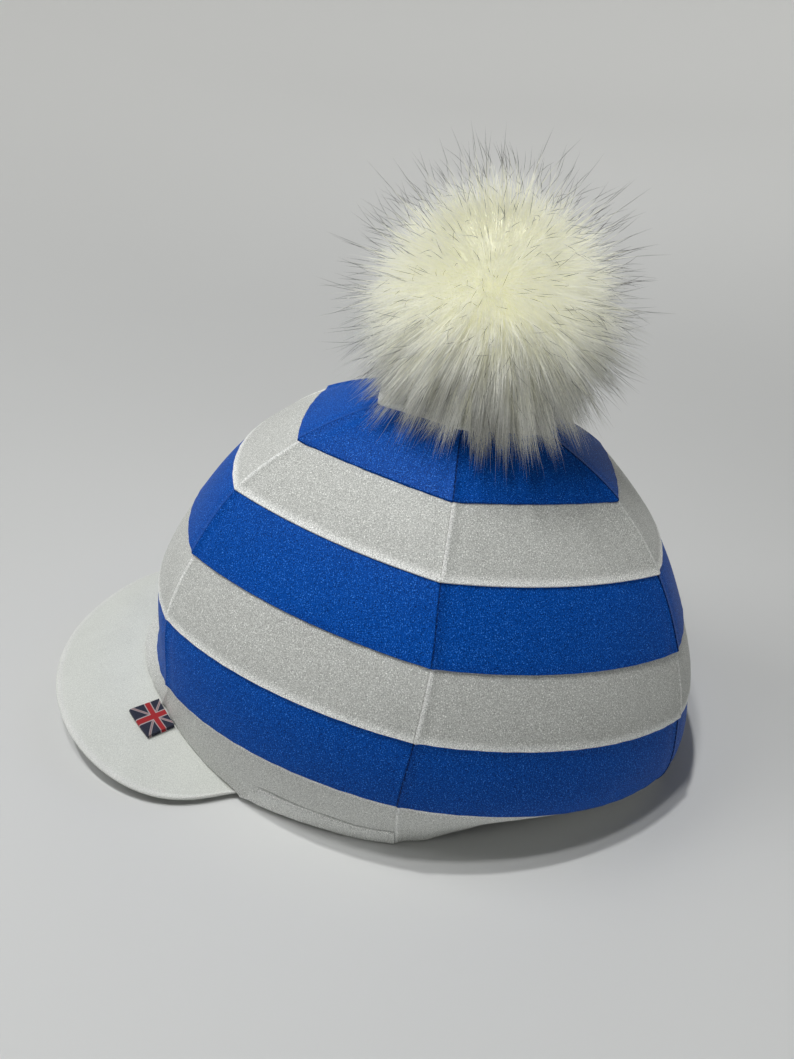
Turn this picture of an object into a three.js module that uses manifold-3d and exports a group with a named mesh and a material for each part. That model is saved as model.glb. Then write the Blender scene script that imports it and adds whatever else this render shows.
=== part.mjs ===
// Jockey cap with a pompom. A striped stretch-cloth crown is sewn from six gores, and
// each gore from seven stripes. A covered peak and a small folded flag tag sit at the
// brow, and a faux-fur pompom is held on the crown's tip by a press stud.
// Millimetres, +Z up, the front towards -Y, the wearer's left towards +X.
// The origin is on the ground, under the middle of the whole cap.
import * as THREE from "three";
import { mergeVertices } from "three/addons/utils/BufferGeometryUtils.js";
import Module from "manifold-3d";

// Crown, over the outside of the cloth
const CROWN_LENGTH = 290;
const CROWN_WIDTH = 247;
const CROWN_HEIGHT = 181;
const CLOTH_WALL = 1.8;
const HEM_WALL = 3;
const STRIPE_STEP = 1; // a stripe's lower edge stands this far over the next stripe
const SEW_GAP = 0.3; // between pieces that are sewn or set against each other
const POLE_BACK = 13; // the crown's tip lies this far behind its middle

// Hem's lower edge
const BROW_HEIGHT = 30; // how high the hem rises over the brow
const BROW_FLAT_ANGLE = 24; // degrees from the front where the rise starts to fall
const BROW_END_ANGLE = 66; // degrees from the front where the hem meets the ground
const HEM_FOOT_SHARE = 0.13; // share of a gore, at each seam, that rests on the ground

// Peak
const PEAK_HALF_WIDTH = 109;
const PEAK_REACH = 47.5; // from the brow to the tip
const PEAK_WALL = 2.4;
const PEAK_TIP_HEIGHT = 18;
const PEAK_END_HEIGHT = 4;
const PEAK_SWELL = 3; // how far the peak is domed between brow and edge
const PEAK_END_WIDTH = 3.4; // how far its ends still stand out from the hem
const PEAK_ROOT_ANGLE = 59; // degrees from the front where the peak ends on the hem
const PEAK_ROOT_DROP = 0.55; // how far its root lies under the hem's lower edge
const PEAK_ROLL_WIDTH = 3.4;
const PEAK_ROLL_RISE = 0.6;

// Folded tag
const TAG_WIDTH = 16;
const TAG_LENGTH = 14.5;
const TAG_WALL = 0.6;
const TAG_FOLD_GAP = 0.5;
const TAG_ANGLE = 38; // degrees from the front, towards the wearer's left
const TAG_HEM_GAP = 0.9; // between the ribbon's ends and the hem

// Pompom and its press stud
const POMPOM_HEAD_RADIUS = 55;
const POMPOM_LIFT = 40; // from the crown's tip to the pompom's centre
const LOCK_COUNT = 58;
const LOCK_REACH = 13; // how far a lock stands out of the head
const LOCK_RADIUS = 15;
const STUD_POST_RADIUS = 3.2;
const STUD_HEAD_RADIUS = 6;
const STUD_HEAD_HEIGHT = 5;
const STUD_BASE_RADIUS = 7;
const STUD_BASE_HEIGHT = 1.2;
const STUD_BASE_GAP = 1.3; // under the domed cloth, at the stud hole's edge

const COLUMNS_PER_GORE = 8;
const ROWS_PER_STRIPE = 3;
const DEGREE = Math.PI / 180;

// One row for each hoop seam, from the tip's edge down to the hem's lower edge.
// halfWidth is a share of half the crown's width; front, back and middle are shares of
// half its length (reach before and behind the hoop's widest place, and that place's
// distance behind the crown's middle); zFront, zSide and zBack are shares of its height;
// fullness is how far the hoop bows out from straight lines between the gore seams.
const HOOPS = [
  { name: "tip_edge", halfWidth: 0.289, front: 0.322, back: 0.321, middle: 0.064,
    zFront: 0.964, zSide: 0.944, zBack: 0.904, fullness: 0.15 },
  { name: "blue_1_edge", halfWidth: 0.531, front: 0.593, back: 0.585, middle: 0.058,
    zFront: 0.899, zSide: 0.831, zBack: 0.78, fullness: 0.2 },
  { name: "white_1_edge", halfWidth: 0.736, front: 0.79, back: 0.765, middle: 0.046,
    zFront: 0.795, zSide: 0.701, zBack: 0.621, fullness: 0.48 },
  { name: "blue_2_edge", halfWidth: 0.895, front: 0.93, back: 0.874, middle: 0.041,
    zFront: 0.637, zSide: 0.548, zBack: 0.43, fullness: 0.63 },
  { name: "white_2_edge", halfWidth: 0.988, front: 1.002, back: 0.958, middle: 0.013,
    zFront: 0.45, zSide: 0.391, zBack: 0.24, fullness: 0.8 },
  { name: "blue_3_edge", halfWidth: 1, front: 0.984, back: 0.968, middle: -0.023,
    zFront: 0.234, zSide: 0.203, zBack: 0.022, fullness: 0.88 },
  { name: "hem_edge", halfWidth: 0.895, front: 1.035, back: 0.868, middle: -0.028,
    zFront: 0, zSide: 0, zBack: 0, fullness: 1 },
];
const HEM_EDGE = HOOPS.length - 1;

// The seams are at these angles from the front, towards the wearer's left. hemRise is how
// far, in the middle of the gore, the hem's lower edge lifts off the ground; hemFullness
// is how far it bows out from a straight line between the seams.
const GORES = [
  { name: "front", from: -35, to: 35, hemRise: 0, hemFullness: 1 },
  { name: "front_left", from: 35, to: 90, hemRise: 2, hemFullness: 1 },
  { name: "back_left", from: 90, to: 149, hemRise: 5, hemFullness: 0.5 },
  { name: "back", from: 149, to: 211, hemRise: 1.5, hemFullness: 0.8 },
  { name: "back_right", from: 211, to: 270, hemRise: 5, hemFullness: 0.5 },
  { name: "front_right", from: 270, to: 325, hemRise: 2, hemFullness: 1 },
];

// Each stripe runs from the hoop seam above it to the one below.
const STRIPES = [
  { name: "crown_tip", colour: "white" },
  { name: "blue_1", colour: "blue" },
  { name: "white_1", colour: "white" },
  { name: "blue_2", colour: "blue" },
  { name: "white_2", colour: "white" },
  { name: "blue_3", colour: "blue" },
  { name: "hem", colour: "white" },
];

const MATERIALS = {
  white: { color: 0xd9dad6, roughness: 0.55, metalness: 0 },
  blue: { color: 0x0f4fb0, roughness: 0.45, metalness: 0 },
  peak: { color: 0xe6e8e4, roughness: 0.5, metalness: 0 },
  tag: { color: 0x1d2a55, roughness: 0.8, metalness: 0 },
  fur: { color: 0xe9e4d2, roughness: 0.95, metalness: 0 },
  stud: { color: 0xb8b8b4, roughness: 0.35, metalness: 0 },
};

const lerp = THREE.MathUtils.lerp;
const clamp = THREE.MathUtils.clamp;
const vector = (x, y, z) => new THREE.Vector3(x, y, z);

function namedMesh(name, geometry, finish) {
  const mesh = new THREE.Mesh(geometry, new THREE.MeshStandardMaterial(MATERIALS[finish]));
  mesh.name = name;
  return mesh;
}

// A closed wall between an outer and an inner grid of points. Both are functions of a
// column and a row number; outwards is away from the inner grid.
function wallBetween(outer, inner, columns, rows) {
  const positions = [];
  for (const side of [outer, inner]) {
    for (let row = 0; row <= rows; row += 1) {
      for (let column = 0; column <= columns; column += 1) {
        positions.push(...side(column, row).toArray());
      }
    }
  }
  const stride = columns + 1;
  const innerStart = stride * (rows + 1);
  const at = (column, row) => row * stride + column;
  const faces = [];
  for (let row = 0; row < rows; row += 1) {
    for (let column = 0; column < columns; column += 1) {
      const a = at(column, row);
      const b = at(column + 1, row);
      const c = at(column + 1, row + 1);
      const d = at(column, row + 1);
      faces.push(a, d, c, a, c, b);
      const [e, f, g, h] = [a, b, c, d].map((index) => index + innerStart);
      faces.push(e, g, h, e, f, g);
    }
  }
  const rim = [];
  for (let row = 0; row < rows; row += 1) rim.push(at(0, row));
  for (let column = 0; column < columns; column += 1) rim.push(at(column, rows));
  for (let row = rows; row > 0; row -= 1) rim.push(at(columns, row));
  for (let column = columns; column > 0; column -= 1) rim.push(at(column, 0));
  rim.forEach((p, step) => {
    const q = rim[(step + 1) % rim.length];
    faces.push(q, p, p + innerStart, q, p + innerStart, q + innerStart);
  });
  const geometry = new THREE.BufferGeometry();
  geometry.setAttribute("position", new THREE.Float32BufferAttribute(positions, 3));
  geometry.setIndex(faces);
  geometry.computeVertexNormals();
  return geometry;
}

// From 0 on the level feet at a gore's seams to 1 in its middle
function hemArch(share) {
  const along = clamp((share - HEM_FOOT_SHARE) / (1 - 2 * HEM_FOOT_SHARE), 0, 1);
  return Math.sin(Math.PI * along) ** 0.7;
}

// Height of the hem's lower edge: a rise over the brow, level feet at the seams and a
// low arch in each gore.
function hemHeight(angle, gore, share) {
  const fromFront = Math.abs(angle > 180 ? angle - 360 : angle);
  const fall = clamp(
    (fromFront - BROW_FLAT_ANGLE) / (BROW_END_ANGLE - BROW_FLAT_ANGLE), 0, 1);
  const brow = BROW_HEIGHT * 0.5 * (1 + Math.cos(Math.PI * fall));
  return brow + gore.hemRise * hemArch(share);
}

function ellipsePoint(hoop, angle) {
  const cosine = Math.cos(angle * DEGREE);
  const reach = (cosine > 0 ? hoop.front : hoop.back) * CROWN_LENGTH / 2;
  return new THREE.Vector2(
    hoop.halfWidth * CROWN_WIDTH / 2 * Math.sin(angle * DEGREE),
    hoop.middle * CROWN_LENGTH / 2 - reach * cosine,
  );
}

// A point of a hoop seam, at a share of the way across a gore.
function hoopPoint(hoopNumber, gore, share) {
  const hoop = HOOPS[hoopNumber];
  const angle = lerp(gore.from, gore.to, share);
  const straight = ellipsePoint(hoop, gore.from).lerp(ellipsePoint(hoop, gore.to), share);
  const isHem = hoopNumber === HEM_EDGE;
  const fullness = isHem ? gore.hemFullness : hoop.fullness;
  const plan = straight.lerp(ellipsePoint(hoop, angle), fullness);
  if (isHem) return vector(plan.x, plan.y, hemHeight(angle, gore, share));
  const forward = hoop.middle * CROWN_LENGTH / 2 - plan.y;
  const reach = (forward > 0 ? hoop.front : hoop.back) * CROWN_LENGTH / 2;
  const lean = forward / reach;
  const slope = (hoop.zFront - hoop.zBack) / 2;
  const bow = (hoop.zFront + hoop.zBack) / 2 - hoop.zSide;
  return vector(plan.x, plan.y, CROWN_HEIGHT * (hoop.zSide + slope * lean + bow * lean ** 2));
}

const POLE = vector(0, POLE_BACK, CROWN_HEIGHT);
// The crown's tip leans back by the same angle as its first hoop seam.
const TIP_LEAN = Math.atan2(
  (HOOPS[0].zFront - HOOPS[0].zBack) * CROWN_HEIGHT,
  (HOOPS[0].front + HOOPS[0].back) * CROWN_LENGTH / 2,
);
const TIP_AXIS = vector(0, Math.sin(TIP_LEAN), Math.cos(TIP_LEAN));

// Points down the middle of the crown's cloth at one share of a gore: the stud hole's
// edge, every hoop seam, and a further point at each end that sets the end slopes.
function meridian(gore, share) {
  const angle = lerp(gore.from, gore.to, share) * DEGREE;
  const first = hoopPoint(0, gore, share);
  const holeRadius = STUD_POST_RADIUS + SEW_GAP;
  const outward = vector(
    Math.sin(angle), -Math.cos(angle) * TIP_AXIS.z, Math.cos(angle) * TIP_AXIS.y);
  const hole = outward.multiplyScalar(holeRadius).add(POLE);
  const fromPole = first.clone().sub(POLE);
  const rise = TIP_AXIS.clone().multiplyScalar(2 * fromPole.dot(TIP_AXIS));
  const beyondPole = POLE.clone().sub(fromPole).add(rise);
  const hoops = HOOPS.map((hoop, number) => hoopPoint(number, gore, share));
  const last = hoops[HEM_EDGE].clone();
  const belowHem = last.clone().multiplyScalar(2).sub(hoops[HEM_EDGE - 1]);
  return [beyondPole, hole, ...hoops, belowHem];
}

// Slope of the curve through three points, spaced by their distances.
function slopeAt(before, here, after) {
  const back = here.clone().sub(before);
  const ahead = after.clone().sub(here);
  const lengthBack = back.length();
  const lengthAhead = ahead.length();
  back.multiplyScalar(lengthAhead / lengthBack);
  ahead.multiplyScalar(lengthBack / lengthAhead);
  return back.add(ahead).divideScalar(lengthBack + lengthAhead);
}

// A point of the crown's smooth outside: across a gore, and down one stripe.
function crownPoint(gore, stripeNumber, share, down) {
  const line = meridian(gore, share);
  const [before, top, bottom, after] = line.slice(stripeNumber, stripeNumber + 4);
  const length = top.distanceTo(bottom);
  const topSlope = slopeAt(before, top, bottom).multiplyScalar(length);
  const bottomSlope = slopeAt(top, bottom, after).multiplyScalar(length);
  const down2 = down * down;
  const down3 = down2 * down;
  return vector(0, 0, 0)
    .addScaledVector(top, 2 * down3 - 3 * down2 + 1)
    .addScaledVector(topSlope, down3 - 2 * down2 + down)
    .addScaledVector(bottom, 3 * down2 - 2 * down3)
    .addScaledVector(bottomSlope, down3 - down2);
}

// Outward direction of a rounded form that all pieces share, so that neighbours' edges
// stay parallel. At the hem's lower edge it is level, so that the hem stands flat.
function outwardAt(point, levelling) {
  const centreHeight = CROWN_HEIGHT * 0.3;
  return vector(
    point.x / (CROWN_WIDTH / 2) ** 2,
    point.y / (CROWN_LENGTH / 2) ** 2,
    (1 - levelling) * (point.z - centreHeight) / (CROWN_HEIGHT - centreHeight) ** 2,
  ).normalize();
}

function stripePiece(stripe, stripeNumber, gore) {
  const isHem = stripeNumber === HEM_EDGE;
  const surface = (column, row, inward) => {
    const across = column / COLUMNS_PER_GORE;
    const height = crownPoint(gore, stripeNumber, across, 0)
      .distanceTo(crownPoint(gore, stripeNumber, across, 1));
    const downEdge = SEW_GAP / 2 / height;
    const lowEdge = isHem ? 1 : 1 - downEdge;
    const down = lerp(downEdge, lowEdge, row / ROWS_PER_STRIPE);
    const width = crownPoint(gore, stripeNumber, 0, down)
      .distanceTo(crownPoint(gore, stripeNumber, 1, down));
    const sideEdge = SEW_GAP / 2 / width;
    const share = lerp(sideEdge, 1 - sideEdge, across);
    const point = crownPoint(gore, stripeNumber, share, down);
    const wall = isHem ? lerp(CLOTH_WALL, HEM_WALL, down) : CLOTH_WALL;
    const step = isHem ? -0.5 * STRIPE_STEP * (1 - down) : STRIPE_STEP * (down - 0.5);
    const out = outwardAt(point, isHem ? down : 0);
    return point.addScaledVector(out, inward ? step - wall : step);
  };
  const geometry = wallBetween(
    (column, row) => surface(column, row, false),
    (column, row) => surface(column, row, true),
    COLUMNS_PER_GORE, ROWS_PER_STRIPE,
  );
  return namedMesh(`${stripe.name}_${gore.name}`, geometry, stripe.colour);
}

// A point of the hem's outer lower edge at an angle near the front, on the straight
// facets of the hem pieces.
function hemEdgePoint(angle) {
  const within = ({ from, to }, turned) => turned >= from && turned <= to;
  const turned = GORES.some((gore) => within(gore, angle)) ? angle : angle + 360;
  const gore = GORES.find((candidate) => within(candidate, turned));
  const column = (turned - gore.from) / (gore.to - gore.from) * COLUMNS_PER_GORE;
  const before = Math.floor(column);
  const start = hoopPoint(HEM_EDGE, gore, before / COLUMNS_PER_GORE);
  const end = hoopPoint(HEM_EDGE, gore, (before + 1) / COLUMNS_PER_GORE);
  return start.lerp(end, column - before);
}

// The peak's root lies under the middle of the hem's wall.
function peakRoot(across) {
  const point = hemEdgePoint(across * PEAK_ROOT_ANGLE);
  point.addScaledVector(outwardAt(point, 1), -HEM_WALL / 2);
  point.z -= PEAK_ROOT_DROP;
  return point;
}

// The peak's outer edge: a rounded sweep from one end of the root to the other, low at
// its ends and highest a little to each side of the tip.
function peakEdge(across) {
  const turn = across * Math.PI / 2;
  const sine = Math.abs(Math.sin(turn));
  const rootEnd = hemEdgePoint(PEAK_ROOT_ANGLE);
  const sweep = rootEnd.y - hemEdgePoint(0).y + PEAK_REACH;
  const side = sine ** 1.08;
  const endNarrowing = PEAK_HALF_WIDTH - rootEnd.x - PEAK_END_WIDTH;
  return vector(
    Math.sign(across) * (PEAK_HALF_WIDTH - endNarrowing * Math.abs(across) ** 14) * side,
    rootEnd.y - sweep * Math.max(Math.cos(turn), 0) ** 0.77,
    lerp(PEAK_TIP_HEIGHT, PEAK_END_HEIGHT, side ** 4.3) + PEAK_SWELL * side ** 2 * (1 - side ** 2),
  );
}

function peakSurface(across, out) {
  const swell = PEAK_SWELL * (4 * out * (1 - out)) ** 2 * (1 - across ** 2);
  const point = peakRoot(across).lerp(peakEdge(across), out);
  point.z += swell;
  return point;
}

function peakPiece() {
  const rollShare = PEAK_ROLL_WIDTH / PEAK_REACH;
  const rows = [0, 0.18, 0.36, 0.54, 0.72, 0.88 - rollShare / 2, 1 - rollShare, 1 - rollShare / 2, 1];
  const columns = 36;
  const surface = (column, row, under) => {
    const across = lerp(-1, 1, column / columns);
    const out = rows[row];
    const point = peakSurface(across, out);
    const fromRoll = Math.abs(out - 1 + rollShare / 2) / (rollShare / 2);
    const roll = PEAK_ROLL_RISE * Math.max(0, 1 - fromRoll ** 2);
    point.z += under ? -PEAK_WALL - roll * 0.5 : roll;
    return point;
  };
  const geometry = wallBetween(
    (column, row) => surface(column, row, false),
    (column, row) => surface(column, row, true),
    columns, rows.length - 1,
  );
  return namedMesh("peak", geometry, "peak");
}

// The tag is a strip of ribbon folded once, with both ends at the brow seam and the
// fold outwards. It lies on the peak and follows its surface.
function tagPiece() {
  const middle = TAG_ANGLE / PEAK_ROOT_ANGLE;
  const acrossPerMm = 0.02 / peakSurface(middle + 0.01, 0).distanceTo(peakSurface(middle - 0.01, 0));
  const outPerMm = 1 / peakSurface(middle, 0).distanceTo(peakSurface(middle, 1));
  const lower = SEW_GAP + 0.2;
  const mid = lower + TAG_WALL;
  const upper = mid + TAG_FOLD_GAP;
  const top = upper + TAG_WALL;
  const start = HEM_WALL / 2 + TAG_HEM_GAP;
  const end = start + TAG_LENGTH;
  // Ribbon section: distance out from the root, and height over the peak
  const section = [
    [start, lower], [(start + end) / 2, lower], [end - 0.6, lower], [end, lower + 0.4],
    [end, top - 0.4], [end - 0.6, top], [(start + end) / 2, top], [start, top],
    [start, upper], [(start + end) / 2, upper], [end - 1.2, upper],
    [end - 1.2, mid], [(start + end) / 2, mid], [start, mid],
  ].map(([out, height]) => new THREE.Vector2(out, height));
  const columns = 3;
  const positions = [];
  for (let column = 0; column <= columns; column += 1) {
    const side = TAG_WIDTH * (column / columns - 0.5);
    for (const { x: out, y: height } of section) {
      const point = peakSurface(middle + side * acrossPerMm, out * outPerMm);
      positions.push(point.x, point.y, point.z + height);
    }
  }
  const count = section.length;
  const faces = [];
  for (let column = 0; column < columns; column += 1) {
    for (let step = 0; step < count; step += 1) {
      const next = (step + 1) % count;
      const [a, b] = [column * count + step, column * count + next];
      const [c, d] = [a + count, b + count];
      faces.push(a, d, b, a, c, d);
    }
  }
  const last = columns * count;
  for (const [a, b, c] of THREE.ShapeUtils.triangulateShape(section, [])) {
    faces.push(a, b, c, last + a, last + c, last + b);
  }
  const geometry = new THREE.BufferGeometry();
  geometry.setAttribute("position", new THREE.Float32BufferAttribute(positions, 3));
  geometry.setIndex(faces);
  return namedMesh("tag", geometry, "tag");
}

const wasm = await Module();
wasm.setup();

function solidOf(geometry) {
  const bare = geometry.clone();
  bare.deleteAttribute("normal");
  bare.deleteAttribute("uv");
  const merged = mergeVertices(bare, 1e-4);
  return new wasm.Manifold(new wasm.Mesh({
    numProp: 3,
    vertProperties: new Float32Array(merged.attributes.position.array),
    triVerts: new Uint32Array(merged.index.array),
  }));
}

function geometryOf(solid) {
  const mesh = solid.getMesh();
  const geometry = new THREE.BufferGeometry();
  geometry.setAttribute("position", new THREE.Float32BufferAttribute(mesh.vertProperties, 3));
  geometry.setIndex(new THREE.Uint32BufferAttribute(mesh.triVerts, 1));
  geometry.computeVertexNormals();
  return geometry;
}

// The upper crown as one closed body, a little outside its cloth.
function crownBody() {
  const clearance = STRIPE_STEP / 2 + SEW_GAP;
  const lastStripe = 2;
  const rows = [];
  for (let stripeNumber = 0; stripeNumber <= lastStripe; stripeNumber += 1) {
    for (let row = stripeNumber ? 1 : 0; row <= ROWS_PER_STRIPE; row += 1) {
      const down = row / ROWS_PER_STRIPE;
      rows.push(GORES.flatMap((gore) => Array.from({ length: COLUMNS_PER_GORE }, (unused, column) => {
        const point = crownPoint(gore, stripeNumber, column / COLUMNS_PER_GORE, down);
        return point.addScaledVector(outwardAt(point, 0), clearance);
      })));
    }
  }
  const count = rows[0].length;
  const top = POLE.clone().addScaledVector(TIP_AXIS, clearance);
  const positions = [top, ...rows.flat(), vector(0, 0, 0)].flatMap((point) => point.toArray());
  const faces = [];
  const bottom = rows.length * count + 1;
  for (let column = 0; column < count; column += 1) {
    const next = (column + 1) % count;
    faces.push(0, 1 + column, 1 + next);
    for (let row = 0; row + 1 < rows.length; row += 1) {
      const [a, b] = [1 + row * count + column, 1 + row * count + next];
      faces.push(a, a + count, b + count, a, b + count, b);
    }
    const lastRow = 1 + (rows.length - 1) * count;
    faces.push(lastRow + column, bottom, lastRow + next);
  }
  const geometry = new THREE.BufferGeometry();
  geometry.setAttribute("position", new THREE.Float32BufferAttribute(positions, 3));
  geometry.setIndex(faces);
  return geometry;
}

// A pointed lock of fur from inside the head to its tip, along a direction.
function lockGeometry(direction, reach) {
  const base = POMPOM_HEAD_RADIUS * 0.72;
  const length = POMPOM_HEAD_RADIUS + reach - base;
  const profile = [
    new THREE.Vector2(0, 0),
    new THREE.Vector2(LOCK_RADIUS, 0),
    new THREE.Vector2(LOCK_RADIUS * 0.72, length * 0.62),
    new THREE.Vector2(0, length),
  ];
  const geometry = new THREE.LatheGeometry(profile, 5);
  geometry.translate(0, base, 0);
  const turn = new THREE.Quaternion().setFromUnitVectors(vector(0, 1, 0), direction);
  geometry.applyQuaternion(turn);
  return geometry;
}

// The pompom, in the tip's own frame: its origin at the crown's tip, Z along the stud.
function pompomPiece(tipFrame) {
  const centre = vector(0, 0, POMPOM_LIFT);
  const head = new THREE.SphereGeometry(POMPOM_HEAD_RADIUS, 20, 14);
  head.rotateX(Math.PI / 2);
  let solid = solidOf(head);
  const goldenAngle = Math.PI * (3 - Math.sqrt(5));
  for (let lock = 0; lock < LOCK_COUNT; lock += 1) {
    const height = 1 - (lock + 0.5) / LOCK_COUNT * 1.62;
    const level = Math.sqrt(1 - height * height);
    const direction = vector(
      Math.cos(lock * goldenAngle) * level, Math.sin(lock * goldenAngle) * level, height);
    const reach = LOCK_REACH * (0.85 + 0.15 * Math.sin(lock * 2.4));
    solid = solid.add(solidOf(lockGeometry(direction, reach)));
  }
  solid = solid.translate([centre.x, centre.y, centre.z]);
  const crown = crownBody().applyMatrix4(tipFrame.matrix.clone().invert());
  const socket = new THREE.CylinderGeometry(
    STUD_HEAD_RADIUS + SEW_GAP, STUD_HEAD_RADIUS + SEW_GAP, 2 * (STUD_HEAD_HEIGHT + SEW_GAP) + 2, 16);
  socket.rotateX(Math.PI / 2);
  solid = solid.subtract(solidOf(crown)).subtract(solidOf(socket));
  return namedMesh("pompom", geometryOf(solid), "fur");
}

function studPiece() {
  const underCloth = -(CLOTH_WALL + STRIPE_STEP / 2 + STUD_BASE_GAP);
  const profile = [
    [0, underCloth - STUD_BASE_HEIGHT],
    [STUD_BASE_RADIUS, underCloth - STUD_BASE_HEIGHT],
    [STUD_BASE_RADIUS, underCloth],
    [STUD_POST_RADIUS, underCloth],
    [STUD_POST_RADIUS, 1.2],
    [STUD_HEAD_RADIUS, 1.2],
    [STUD_HEAD_RADIUS, STUD_HEAD_HEIGHT],
    [0, STUD_HEAD_HEIGHT],
  ].map(([radius, height]) => new THREE.Vector2(radius, height));
  const geometry = new THREE.LatheGeometry(profile, 16);
  geometry.rotateX(Math.PI / 2);
  return namedMesh("pompom_press_stud", geometry, "stud");
}

const cap = new THREE.Group();
for (const [stripeNumber, stripe] of STRIPES.entries()) {
  for (const gore of GORES) cap.add(stripePiece(stripe, stripeNumber, gore));
}
cap.add(peakPiece(), tagPiece());

const tipFrame = new THREE.Group();
tipFrame.position.copy(POLE);
tipFrame.rotation.x = -TIP_LEAN;
tipFrame.updateMatrix();
tipFrame.add(pompomPiece(tipFrame), studPiece());
cap.add(tipFrame);

// Stand the cap over the origin.
const whole = new THREE.Group();
whole.add(cap);
whole.updateMatrixWorld(true);
const box = new THREE.Box3().setFromObject(cap, true);
const middle = box.getCenter(vector(0, 0, 0));
cap.position.set(-middle.x, -middle.y, -box.min.z);
whole.updateMatrixWorld(true);

export default whole;
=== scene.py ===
# %% [markdown]
# # A jockey cap with a pompom
# The real thing is a thin stretch cover that is pulled over a hard riding skull cap.
# Six gores meet at the crown's tip, each gore is sewn from seven stripes, and a covered
# peak, a small folded tag and a ball of faux fur finish it.
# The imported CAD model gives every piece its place. This script loads it, makes the same
# pieces again with a finer surface, and gives them cloth, thread and fur.

# %% Load the frame
import math

import bpy
import numpy as np
from mathutils import Matrix


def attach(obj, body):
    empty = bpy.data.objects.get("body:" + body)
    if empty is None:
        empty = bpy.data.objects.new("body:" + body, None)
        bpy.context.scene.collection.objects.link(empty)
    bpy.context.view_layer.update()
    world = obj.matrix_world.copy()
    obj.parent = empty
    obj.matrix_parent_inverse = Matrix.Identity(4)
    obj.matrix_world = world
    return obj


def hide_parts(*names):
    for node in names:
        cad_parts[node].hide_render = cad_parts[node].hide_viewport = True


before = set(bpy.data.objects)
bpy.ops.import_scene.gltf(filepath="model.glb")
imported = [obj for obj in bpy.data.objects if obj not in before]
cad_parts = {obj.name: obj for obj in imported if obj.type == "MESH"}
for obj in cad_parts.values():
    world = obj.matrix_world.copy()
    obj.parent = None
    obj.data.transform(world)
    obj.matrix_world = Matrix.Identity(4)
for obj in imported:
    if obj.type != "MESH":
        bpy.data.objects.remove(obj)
scene = bpy.context.scene
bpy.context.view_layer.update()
MM = 0.001

# %% [markdown]
# ## Camera
# The photograph was taken from the wearer's left, a little above the crown, with the
# short lens of a phone. A camera is a place and three angles: yaw turns it about the
# vertical, pitch tips it, and roll leans the picture.

# %% Camera
CAMERA_PLACE = (0.36056, 0.04218, 0.2944)
CAMERA_YAW, CAMERA_PITCH, CAMERA_ROLL = (math.radians(a) for a in (-175.161, -28.256, 2.88))
CAMERA_LENS = 27.2  # mm, over a 36 mm sensor on the picture's long side

forward = np.array([
    math.cos(CAMERA_PITCH) * math.cos(CAMERA_YAW),
    math.cos(CAMERA_PITCH) * math.sin(CAMERA_YAW),
    math.sin(CAMERA_PITCH),
])
level_right = np.cross(forward, (0, 0, 1))
level_right /= np.linalg.norm(level_right)
level_up = np.cross(level_right, forward)
right = math.cos(CAMERA_ROLL) * level_right + math.sin(CAMERA_ROLL) * level_up
up = math.cos(CAMERA_ROLL) * level_up - math.sin(CAMERA_ROLL) * level_right
camera_data = bpy.data.cameras.new("camera")
camera_data.lens = CAMERA_LENS
camera_data.sensor_width = 36
camera_data.clip_start = 0.01
camera = bpy.data.objects.new("camera", camera_data)
camera.matrix_world = Matrix.Translation(CAMERA_PLACE) @ Matrix(
    np.column_stack([right, up, -forward]).tolist()).to_4x4()
scene.collection.objects.link(camera)
scene.camera = camera
print("camera distance from the cap's middle:", round(float(np.linalg.norm(CAMERA_PLACE)), 3), "m")

# %% [markdown]
# ## Meshes from arrays
# Every new piece is a grid of points worked out by numpy at once. One function turns
# points and faces into an object, and another closes an outer and an inner grid into a
# thin wall, as cloth has two sides and an edge.

# %% Mesh helpers
def new_piece(name, points, face_groups, smooth_angle=40):
    """An object from an array of points and arrays of faces with three or more corners."""
    faces = [np.asarray(group, np.int32) for group in face_groups]
    mesh = bpy.data.meshes.new(name)
    mesh.vertices.add(len(points))
    mesh.vertices.foreach_set("co", np.asarray(points, np.float32).ravel())
    corners = np.concatenate([group.ravel() for group in faces])
    mesh.loops.add(len(corners))
    mesh.loops.foreach_set("vertex_index", corners)
    counts = np.concatenate([np.full(len(group), group.shape[1]) for group in faces])
    mesh.polygons.add(len(counts))
    mesh.polygons.foreach_set("loop_start", np.cumsum(counts) - counts)
    mesh.update(calc_edges=True)
    mesh.shade_smooth()
    mesh.set_sharp_from_angle(angle=math.radians(smooth_angle))
    piece = bpy.data.objects.new(name, mesh)
    scene.collection.objects.link(piece)
    return piece


def grid_faces(rows, columns, start=0, flip=False):
    """Four-cornered faces over a grid of rows x columns points, numbered row by row."""
    number = start + np.arange(rows * columns).reshape(rows, columns)
    faces = np.stack(
        [number[:-1, :-1], number[1:, :-1], number[1:, 1:], number[:-1, 1:]], axis=-1)
    return faces.reshape(-1, 4)[:, ::-1] if flip else faces.reshape(-1, 4)


def ring_faces(rows, columns):
    """Faces over closed rings of points, with each point's number and its neighbour's."""
    number = np.arange(rows * columns).reshape(rows, columns)
    after = np.roll(number, -1, axis=1)
    faces = np.stack([number[:-1], number[1:], after[1:], after[:-1]], axis=-1)
    return faces.reshape(-1, 4), number, after


def closed_wall(name, outer, inner):
    """A wall between two grids of points, with a strip of faces round its whole rim."""
    rows, columns = outer.shape[:2]
    number = np.arange(rows * columns).reshape(rows, columns)
    rim = np.concatenate([
        number[:-1, 0], number[-1, :-1], number[:0:-1, -1], number[0, :0:-1]])
    after = np.roll(rim, -1)
    inside = rows * columns
    rim_faces = np.stack([after, rim, rim + inside, after + inside], axis=-1)
    points = np.concatenate([outer.reshape(-1, 3), inner.reshape(-1, 3)])
    return new_piece(name, points, [
        grid_faces(rows, columns), grid_faces(rows, columns, inside, flip=True), rim_faces])


def twice(values):
    """The same values for the outer and the inner grid of a wall."""
    return np.concatenate([values.ravel(), values.ravel()])


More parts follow.
